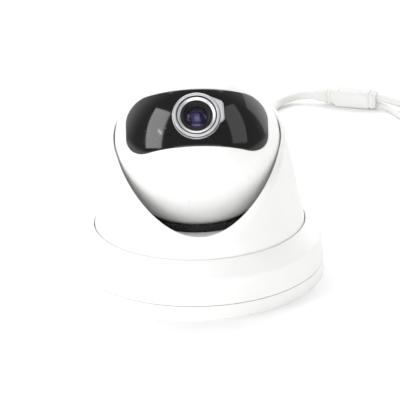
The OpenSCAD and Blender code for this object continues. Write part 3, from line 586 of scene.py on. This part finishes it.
trimDrop = trimShape["thick"] * math.sqrt(1 + trimSlope ** 2)


def trimUnderside(radius):
    return trimShape["top"] - trimDrop - trimSlope * (radius - trimShape["topRadius"])


# height of the slanted rim over a place in front of or behind the axis: a quadratic
# Bezier curve, solved for its parameter
def rimHeight(y, shape):
    foot, knee = shape["foot"], shape["knee"]
    b = 2 * (foot - knee)
    t = (-b + np.sqrt(np.maximum(b * b + 8 * knee * (foot + y), 0))) / (4 * knee)
    t = np.clip(t, 0, 1)
    return (1 - t) ** 2 * shape["rimFront"] + (1 - (1 - t) ** 2) * shape["rimBack"]


def makeTurret(shape, ball):
    turn = fullTurn(shape["columns"])
    sine, centre, top = np.sin(turn), ball["centreHeight"], trimShape["top"]
    well, seat = shape["foot"] - shape["wall"], shape["seat"]

    def outside(height):
        return shape["foot"] - shape["slope"] * (height - top)

    def inside(height):
        cone = well + (shape["socket"] - well) * (height - seat) / (centre - seat)
        dome = np.sqrt(np.maximum(shape["socket"] ** 2 - (height - centre) ** 2, 0))
        return np.where(height > centre, dome, np.where(height < seat, well, cone))

    # where a wall meets the slanted rim: each pass goes half the way to the rim's height
    def meet(radiusAt):
        height = np.full_like(turn, 50.0)
        for _ in range(60):
            height = 0.5 * height + 0.5 * rimHeight(radiusAt(height) * sine, shape)
        return radiusAt(height), height

    outR, outZ = meet(outside)
    inR, inZ = meet(inside)

    def face(share):
        radius = outR + (inR - outR) * share
        return radius, rimHeight(radius * sine, shape)

    def curve(start, corner, end, steps):
        return [bend(*np.array((start, corner, end)), t) for t in np.linspace(0, 1, steps)]

    width = np.hypot(outR - inR, outZ - inZ)
    roll, lip = shape["outerRoll"], shape["innerRoll"]
    startZ, lipZ = np.maximum(outZ - roll, top + shape["wallStart"]), inZ - lip
    flangeTop, footTop = (trimUnderside(shape[name]) - shape["flangeGap"] for name in ("flange", "foot"))
    rows = [(shape["flange"], shape["footHeight"]), (shape["flange"], flangeTop),
            (shape["foot"], footTop), (shape["foot"], top)]
    wall = [(outside(height), height) for height in
            (top + (startZ - top) * s for s in np.linspace(0, 1, shape["wallRows"])[1:-1])]
    outer = curve((outside(startZ), startZ), (outR, outZ), face(roll / width), shape["outerRows"])
    flat = [face(roll / width + (1 - (roll + lip) / width) * s) for s in (0.2, 0.4, 0.6, 0.8)]
    inner = curve(face(1 - lip / width), (inR, inZ), (inside(lipZ), lipZ), shape["innerRows"])
    down = [(inside(height), height) for height in
            (lipZ + (seat - inZ + lip) * s for s in np.linspace(0, 1, shape["insideRows"])[1:])]
    rows = rows + wall + outer + flat + inner + down + [(well, shape["footHeight"])]
    grids = [(np.array([ringPoints(turn, radius, height) for radius, height in rows]), True, True)]
    grids += [postGrid(shape["bossBottom"], shape["bossTop"], angle, well - shape["bossInset"])
              for angle in np.radians(shape["bossAngles"])]
    surfacePiece("turretHousing", "turret", whiteAbs, grids,
                 stands=["turret_housing"], sharp=32)


def makeTrim(shape):
    corners = [(shape["inner"], shape["bottom"]), (shape["outer"], shape["bottom"], 0.3),
               (shape["outer"] - 0.15, shape["bottom"] + 3, 0.8),
               (shape["edgeRadius"], shape["edge"], 1.1), (shape["topRadius"], shape["top"], 0.5),
               (shape["topRadius"], shape["top"] - trimDrop),
               (shape["inner"], trimUnderside(shape["inner"]))]
    grids = [latheGrid(roundedProfile(corners, 7), shape["columns"])]
    # three bayonet lugs, each an arc of rectangular section
    section = [(shape["lugInner"], shape["lugBottom"]), (shape["lugOuter"], shape["lugBottom"]),
               (shape["lugOuter"], shape["lugTop"]), (shape["lugInner"], shape["lugTop"])]
    for middle in shape["lugAngles"]:
        turn = np.radians(np.linspace(middle - shape["lugHalfAngle"], middle + shape["lugHalfAngle"],
                                      shape["lugRows"]))
        lug = np.array([ringPoints(turn, radius, height) for radius, height in section])
        grids.append(cappedStrip(lug.transpose(1, 0, 2)))
    surfacePiece("trimRing", "trim", whiteAbs, grids,
                 stands=["trim_ring"], sharp=32)


# the ball rests in this ring; a slot at the back, of the given half width, lets the lead through
seatRing = {"outer": 25.5, "inner": 17.41, "top": 30.9, "bottom": 26.4, "ballRadius": 36.65,
            "slot": 8, "lip": 0.9, "columns": 260, "seatRows": 14}


def makeSeatRing(ring, ball):
    def ballReach(height):
        return np.sqrt(ring["ballRadius"] ** 2 - (ball["centreHeight"] - height) ** 2)

    low = ball["centreHeight"] - math.sqrt(ring["ballRadius"] ** 2 - ring["inner"] ** 2)
    height = np.linspace(low, ring["top"], ring["seatRows"])
    outline = [(ballReach(ring["top"]) + ring["lip"], ring["top"]), (ring["outer"], ring["top"], 0.6),
               (ring["outer"], ring["bottom"]), (ring["inner"], ring["bottom"])]
    profile = np.concatenate([roundedProfile(outline), np.stack([ballReach(height), height], axis=1)])
    rows = []
    for radius, z in profile:
        gapAngle = math.asin(ring["slot"] / radius)
        turn = np.linspace(math.pi / 2 + gapAngle, math.pi * 2.5 - gapAngle, ring["columns"])
        rows.append(ringPoints(turn, radius, z))
    surfacePiece("ballFrictionRing", "turret", blackRubber,
                 [cappedStrip(np.array(rows).transpose(1, 0, 2))],
                 stands=["ball_friction_ring"], sharp=40)


# smooth dark surface: even gloss with a faint haze, and a few small specks of dust
def glossPlastic(name, values):
    material, tree, place = newMaterial(name)
    cells = addNode(tree, "TexVoronoi", {"feature": "F1", "Scale": 1 / (values["speckPitch"] * mm)},
                    {"Vector": place})
    # most cells get a size below zero, so only some of them hold a speck
    size = spread(tree, cells.outputs["Color"], (-0.4, 0.16), 0.0, 1.0)
    speck = addNode(tree, "Math", {"operation": "LESS_THAN"}, {0: cells.outputs["Distance"], 1: size})
    haze = cloud(tree, place, values["haze"], 4.0)
    return finishMaterial(material, tree, {"IOR": values["ior"], **values.get("shader", {})},
                          mixColours(tree, speck.outputs[0], values["colour"], values["dust"]),
                          spread(tree, haze, values["rough"], 0.35), relief(tree, haze, values["depth"], 0.1))


# infrared-pass polycarbonate of the window: polished in the mould, nearly black
windowGloss = glossPlastic("blackPolycarbonate", {
    "colour": "#0c0b0c", "dust": "#5c5a58", "speckPitch": 2.2, "haze": 6,
    "rough": (0.05, 0.12), "depth": 0.02, "ior": 1.585})
# moulded silicone rubber: soft sheen, and dust clings to it
blackRubber = glossPlastic("blackSiliconeRubber", {
    "colour": "#1b1a1a", "dust": "#8a8884", "speckPitch": 1.1, "haze": 1.5,
    "rough": (0.22, 0.38), "depth": 0.3, "ior": 1.43})
# the same rubber, dulled by its grey filler
greyRubber = glossPlastic("greySiliconeRubber", {
    "colour": "#5a5b5c", "dust": "#7c7c7a", "speckPitch": 1.4, "haze": 2,
    "rough": (0.45, 0.6), "depth": 0.4, "ior": 1.43})
# coated glass deep in the lens, seen as a blue glint
innerCoated = glossPlastic("blueCoatedGlass", {
    "colour": "#3a475c", "dust": "#46526a", "speckPitch": 1.5, "haze": 1,
    "rough": (0.01, 0.03), "depth": 0.01, "ior": 1.75,
    "shader": {"Specular Tint": linearColour("#b9c8ff"), "Coat Weight": 1.0}})
# thin glass lid over the dark sensor chip
sensorGlass = glossPlastic("glassLiddedSensor", {
    "colour": "#15181f", "dust": "#23303a", "speckPitch": 0.5, "haze": 1.5,
    "rough": (0.04, 0.1), "depth": 0.02, "ior": 1.52})


# clear parts: light passes through, the surface keeps a faint haze and a tinted reflection
def clearMaterial(name, values):
    material, tree, place = newMaterial(name)
    haze = cloud(tree, place, values["haze"], 4.0)
    settings = {"IOR": values["ior"], "Transmission Weight": 1.0,
                "Specular Tint": linearColour(values["coating"])}
    return finishMaterial(material, tree, settings,
                          mixColours(tree, haze, values["colour"], values["shade"]),
                          spread(tree, haze, values["rough"], 0.35))


# ground and coated front lens, with a violet tint in its reflections
frontGlass = clearMaterial("coatedOpticalGlass", {
    "colour": "#dfe2ee", "shade": "#d6daea", "haze": 2, "rough": (0.0, 0.02), "ior": 1.62,
    "coating": "#b79ae6"})
# small lenses of moulded acrylic over the emitters, slightly hazy
clearAcrylic = clearMaterial("clearMouldedAcrylic", {
    "colour": "#f4f7fa", "shade": "#e9eef2", "haze": 1, "rough": (0.02, 0.08), "ior": 1.49,
    "coating": "#ffffff"})
# filter glass that stops infrared: cyan through it, orange off it
filterCoated = clearMaterial("infraredCutGlass", {
    "colour": "#9fd6d8", "shade": "#8fc8d2", "haze": 1.5, "rough": (0.01, 0.04), "ior": 1.52,
    "coating": "#ff9c7a"})


# turned or rolled metal: fine lines round the piece, from its own surface map, and painted shade darkening
# its grooves and hollows
def turnedMetal(name, values):
    material, tree, place = newMaterial(name)
    surface = addNode(tree, "UVMap", {"uv_map": "surface"}).outputs["UV"]
    stretch = addNode(tree, "Mapping", {"Scale": (3.0, 1 / (values["pitch"] * mm), 1.0)},
                      {"Vector": surface})
    lines = addNode(tree, "TexNoise", {"Scale": 1.0, "Detail": 3.0, "Roughness": 0.6},
                    {"Vector": stretch.outputs["Vector"]}).outputs["Fac"]
    tone = mixColours(tree, cloud(tree, place, values["spots"], 4.0), values["colour"], values["shade"])
    # painted shade: where ambient occlusion finds nearby surfaces, in grooves and hollows, the colour is
    # mixed towards a near-black
    clear = addNode(tree, "AmbientOcclusion", {"samples": 8, "Distance": values["groove"] * mm})
    share = spread(tree, clear.outputs["AO"], (0.0, 1.0), 0.35, 0.9)
    return finishMaterial(material, tree, {"Metallic": values["metallic"]},
                          mixColours(tree, share, values["paintedGrooveShade"], tone),
                          spread(tree, lines, values["rough"]),
                          relief(tree, lines, values["depth"], values["pitch"]))


# aluminium turned on a lathe and left satin, with painted shade in its grooves
bezelSilver = turnedMetal("satinTurnedAluminium", {
    "colour": "#dcdcde", "shade": "#c9c9cc", "pitch": 0.12, "spots": 2, "rough": (0.32, 0.5),
    "depth": 0.25, "metallic": 1.0, "groove": 0.9, "paintedGrooveShade": "#141416"})
# aluminium turned and anodised black, with painted shade darkening its grooves
lensBlack = turnedMetal("blackAnodisedAluminium", {
    "colour": "#09090a", "shade": "#0e0e0f", "pitch": 0.15, "spots": 1, "rough": (0.3, 0.5),
    "depth": 0.3, "metallic": 0.2, "groove": 1.5, "paintedGrooveShade": "#050506"})


lineLength = 9.0  # how many times longer the lines are than they are thick


# plated or turned metal without a surface map: fine level lines, as turning and rolling leave
def platedMetal(name, values):
    material, tree, place = newMaterial(name)
    along = addNode(tree, "Mapping", {"Scale": (1.0, 1.0, lineLength)}, {"Vector": place})
    lines = cloud(tree, along.outputs["Vector"], values["pitch"] * lineLength, 4.0, 0.65)
    clouds = cloud(tree, place, values["cloud"], 3.0)
    return finishMaterial(material, tree, {"Metallic": 1.0},
                          mixColours(tree, clouds, values["colour"], values["shade"]),
                          spread(tree, lines, values["rough"]),
                          relief(tree, lines, values["depth"], values["pitch"]))


# screws of pressed steel with bright zinc plate
zincSteel = platedMetal("zincPlatedSteel", {
    "colour": "#b9babc", "shade": "#9fa2a6", "pitch": 0.08, "cloud": 0.8, "rough": (0.25, 0.45),
    "depth": 0.2})
# posts and ring of bare turned brass
turnedBrass = platedMetal("turnedBrass", {
    "colour": "#c9a35a", "shade": "#b28c48", "pitch": 0.06, "cloud": 1.2, "rough": (0.22, 0.38),
    "depth": 0.2})
# the socket's brass under smooth nickel plate
nickelBrass = platedMetal("nickelPlatedBrass", {
    "colour": "#c4c2bd", "shade": "#b2afa8", "pitch": 0.05, "cloud": 2, "rough": (0.12, 0.26),
    "depth": 0.12})


# circuit board: solder mask over copper runs, with tinned pads on a regular pitch
def boardMaterial(name, values):
    material, tree, place = newMaterial(name)
    runs = addNode(tree, "TexVoronoi", {"feature": "F1", "distance": "CHEBYCHEV",
                                        "Scale": 1 / (values["runPitch"] * mm)}, {"Vector": place})
    rings = addNode(tree, "Math", {"operation": "PINGPONG", 1: values["runWidths"][1]},
                    {0: runs.outputs["Distance"]})
    copper = addNode(tree, "Math", {"operation": "GREATER_THAN", 1: values["runWidths"][0]},
                     {0: rings.outputs[0]}).outputs[0]
    grid = addNode(tree, "TexVoronoi", {"feature": "F1", "Randomness": 0.0,
                                        "Scale": 1 / (values["padPitch"] * mm)}, {"Vector": place})
    # pads come in islands, each a patch a few pads wide
    island = cloud(tree, place, values["padPitch"] * 2.5)
    size = spread(tree, island, (0.0, 0.24), 0.5, 0.56)
    pad = addNode(tree, "Math", {"operation": "LESS_THAN"},
                  {0: grid.outputs["Distance"], 1: size}).outputs[0]
    mask = mixColours(tree, copper, values["mask"], values["run"])
    height = addNode(tree, "Math", {"operation": "ADD"}, {0: copper, 1: pad}).outputs[0]
    return finishMaterial(material, tree, {"IOR": 1.5}, mixColours(tree, pad, mask, values["pad"]),
                          spread(tree, island, values["rough"], 0.0, 1.0),
                          relief(tree, height, 0.3, 0.04), metallic=pad)


# printed boards: green mask on the main ones, white on the one that throws light forward
greenBoard = boardMaterial("greenSolderMask", {
    "mask": "#0d3a1f", "run": "#14502b", "pad": "#c9c8c2", "runPitch": 3.4, "runWidths": (0.075, 0.12),
    "padPitch": 1.27, "rough": (0.2, 0.35)})
whiteBoard = boardMaterial("whiteSolderMask", {
    "mask": "#dcdcd6", "run": "#e8e8e3", "pad": "#c9c8c2", "runPitch": 4.5, "runWidths": (0.075, 0.12),
    "padPitch": 2.54, "rough": (0.3, 0.45)})
# silicone filled with yellow phosphor, cast over each emitter
ledPhosphor = mouldedPlastic("phosphorFilledSilicone", {
    "colour": "#e8cf6a", "shade": "#dcbf52", "grain": 0.12, "drift": 1.5, "marks": 0.5,
    "depth": 0.3, "rough": (0.4, 0.55), "ior": 1.41})
print("metals, glass and boards made")

makeBall(ballShape, windowShape)
makeWindow(windowShape, ballShape)
makeBezel(bezelShape, ballShape, windowShape)
makeLens(lensShape)
makeArrow(arrowMark, ballShape)
print("ball made")
makeTurret(turretShape, ballShape)
makeTrim(trimShape)
makeSeatRing(seatRing, ballShape)
print("turret and trim ring made")


# a pale floor that runs far past the view, in metres from the middle to each side
floorHalf = 4
floorMesh = bpy.data.meshes.new("floor")
floorMesh.from_pydata([(x * floorHalf, y * floorHalf, 0) for x, y in ((-1, -1), (1, -1), (1, 1), (-1, 1))],
                      [], [(0, 1, 2, 3)])
floor = bpy.data.objects.new("floor", floorMesh)
scene.collection.objects.link(floor)
floorMesh.materials.append(mouldedPlastic("paleFloor", {
    "colour": "#ffffff", "shade": "#fcfcfc", "grain": 1.5, "drift": 300, "marks": 40,
    "depth": 0.02, "rough": (0.7, 0.8), "ior": 1.4}))

# the room is dim on the camera's side and a pale backdrop fills the far side; from and to say
# how far towards the back, from -1 to 1, the change begins and ends
studio = {"front": 0.27, "back": 1.3, "from": 0.1, "to": 0.85}
world = bpy.data.worlds.new("studio")
scene.world = world
world.use_nodes = True
roomTree = world.node_tree
way = addNode(roomTree, "SeparateXYZ",
              links={0: addNode(roomTree, "TexCoord").outputs["Generated"]})
glow = addNode(roomTree, "MapRange", {"interpolation_type": "SMOOTHSTEP",
                                      "From Min": studio["from"], "From Max": studio["to"],
                                      "To Min": studio["front"], "To Max": studio["back"]},
               {"Value": way.outputs["Y"]})
room = roomTree.nodes["Background"]
room.inputs["Color"].default_value = (1, 1, 1, 1)
roomTree.links.new(glow.outputs["Result"], room.inputs["Strength"])

# places and sizes in metres, powers in watts, rolls in degrees; all look at one point
lightTarget = Vector((0, 0, 0.06))
softLights = {
    "boxLeft": {"place": (-0.78, -0.29, 0.51), "size": (0.44, 0.8), "power": 4.3, "roll": 18},
    "bulbLeft": {"place": (-0.7, -0.404, 0.48), "size": (0.12, 0.035), "power": 0.12, "roll": -25},
    "boxRight": {"place": (0.75, -0.29, 0.56), "size": (0.4, 0.8), "power": 0.9, "roll": -18},
    "backSoft": {"place": (0, 0.8, 1.35), "size": (1.6, 0.9), "power": 9, "roll": 0},
    "sideRight": {"place": (0.85, 0.8, 0.4), "size": (1.1, 0.8), "power": 2.4, "roll": 0},
    "lowFront": {"place": (0.0, -1.1, 0.19), "size": (1.3, 0.28), "power": 4.9, "roll": 0},
    "topFront": {"place": (0.08, -0.55, 0.98), "size": (0.5, 0.56), "power": 1.3, "roll": 0},
}
for name, values in softLights.items():
    data = bpy.data.lights.new(name, "AREA")
    data.shape, data.size, data.size_y = "RECTANGLE", *values["size"]
    data.energy = values["power"]
    light = bpy.data.objects.new(name, data)
    scene.collection.objects.link(light)
    light.location = values["place"]
    light.rotation_mode = "QUATERNION"
    aim = (lightTarget - light.location).to_track_quat("-Z", "Y")
    light.rotation_quaternion = aim @ Quaternion((0, 0, 1), math.radians(values["roll"]))

# material slot: (material, the CAD nodes that take it)
finishes = {
    "white_plastic": (whiteAbs, ["base_plate", "cable_clamp", "trim_ring", "turret_housing",
                                 "ball_retainer"]),
    "white_ball_plastic": (whiteBallAbs, ["ball_front_shell", "ball_rear_shell"]),
    "cable_mould": (mouldPvc, ["cable_gland", "junction_relief", "junction_body"]),
    "cable_jacket": (cablePvc, ["main_cable", "video_lead", "power_lead"]),
    "window_black": (windowGloss, ["window"]),
    "bezel_metal": (bezelSilver, ["lens_bezel"]),
    "lens_black": (lensBlack, ["lens_barrel"]),
    "lens_coated": (innerCoated, ["lens_glass", "inner_glass"]),
    "black_rubber": (blackRubber, ["ball_friction_ring", "shell_seal", "microphone_boot",
                                   "cable_sleeve"]),
    "grey_rubber": (greyRubber, ["pan_friction_ring", "ball_grommet", "window_gasket"]),
    "screw_steel": (zincSteel, ["clamp_screws", "retainer_screws", "shell_screws", "holder_screws",
                                "board_screws", "light_sensor", "microphone"]),
    "brass": (turnedBrass, ["lens_lock_ring", "led_posts", "board_standoffs"]),
    "black_plastic": (blackNylon, ["lens_holder", "filter_slide", "dc_socket"]),
    "board_green": (greenBoard, ["sensor_board", "main_board"]),
    "board_white": (whiteBoard, ["led_board"]),
    "chip": (sensorGlass, ["image_sensor"]),
    "led_phosphor": (ledPhosphor, ["led_emitters"]),
    "clear_plastic": (clearAcrylic, ["led_lenses"]),
    "filter_glass": (filterCoated, ["filter_glasses"]),
    "nickel": (nickelBrass, ["bnc_socket"]),
    "ivory_plastic": (ivoryNylon, ["board_connector"]),
}
for slot, (material, nodes) in finishes.items():
    for node in nodes:
        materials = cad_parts[node].data.materials
        materials.clear()
        materials.append(material)

# edges sharper than cornerAngle are rounded, and faces within flatAngle become one, in degrees
rounding = {"segments": 3, "cornerAngle": 30, "flatAngle": 1}


# a copy of a CAD piece: flat faces joined up, then every sharp edge rounded over
def roundedCopy(node, body, width):
    first, *others = node.split("_")
    name = first + "".join(word.title() for word in others)
    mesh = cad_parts[node].data.copy()
    mesh.name = name
    work = bmesh.new()
    work.from_mesh(mesh)
    bmesh.ops.remove_doubles(work, verts=work.verts, dist=weldDistance)
    bmesh.ops.recalc_face_normals(work, faces=work.faces)
    bmesh.ops.dissolve_limit(work, angle_limit=math.radians(rounding["flatAngle"]),
                             verts=work.verts, edges=work.edges)
    corner = math.radians(rounding["cornerAngle"])
    edges = [edge for edge in work.edges
             if len(edge.link_faces) == 2 and edge.calc_face_angle(0) > corner]
    bmesh.ops.bevel(work, geom=edges, offset=width * mm, offset_type="OFFSET",
                    segments=rounding["segments"], profile=0.5, affect="EDGES", clamp_overlap=True)
    bmesh.ops.remove_doubles(work, verts=work.verts, dist=weldDistance)
    bmesh.ops.triangulate(work, faces=work.faces)
    bmesh.ops.recalc_face_normals(work, faces=work.faces)
    print(name, "open edges:", sum(not edge.is_manifold for edge in work.edges))
    work.to_mesh(mesh)
    work.free()
    placePiece(name, mesh, body, [node], rounding["cornerAngle"])


# edge rounds in millimetres, by body
roundings = {
    "base": {"base_plate": 0.35, "cable_clamp": 0.3, "cable_gland": 0.3, "junction_relief": 0.25,
             "junction_body": 0.35, "bnc_socket": 0.2, "dc_socket": 0.3},
    "turret": {"ball_retainer": 0.3},
}
for body, pieces in roundings.items():
    for node, width in pieces.items():
        roundedCopy(node, body, width)
print("CAD pieces finished")

# the cords come last, after the rounded pieces
makeCord("mainCable", "main_cable", mainRoute, cordShape["cableRadius"])
makeCord("videoLead", "video_lead", videoRoute, cordShape["videoRadius"])
makeCord("powerLead", "power_lead", powerRoute, cordShape["powerRadius"])
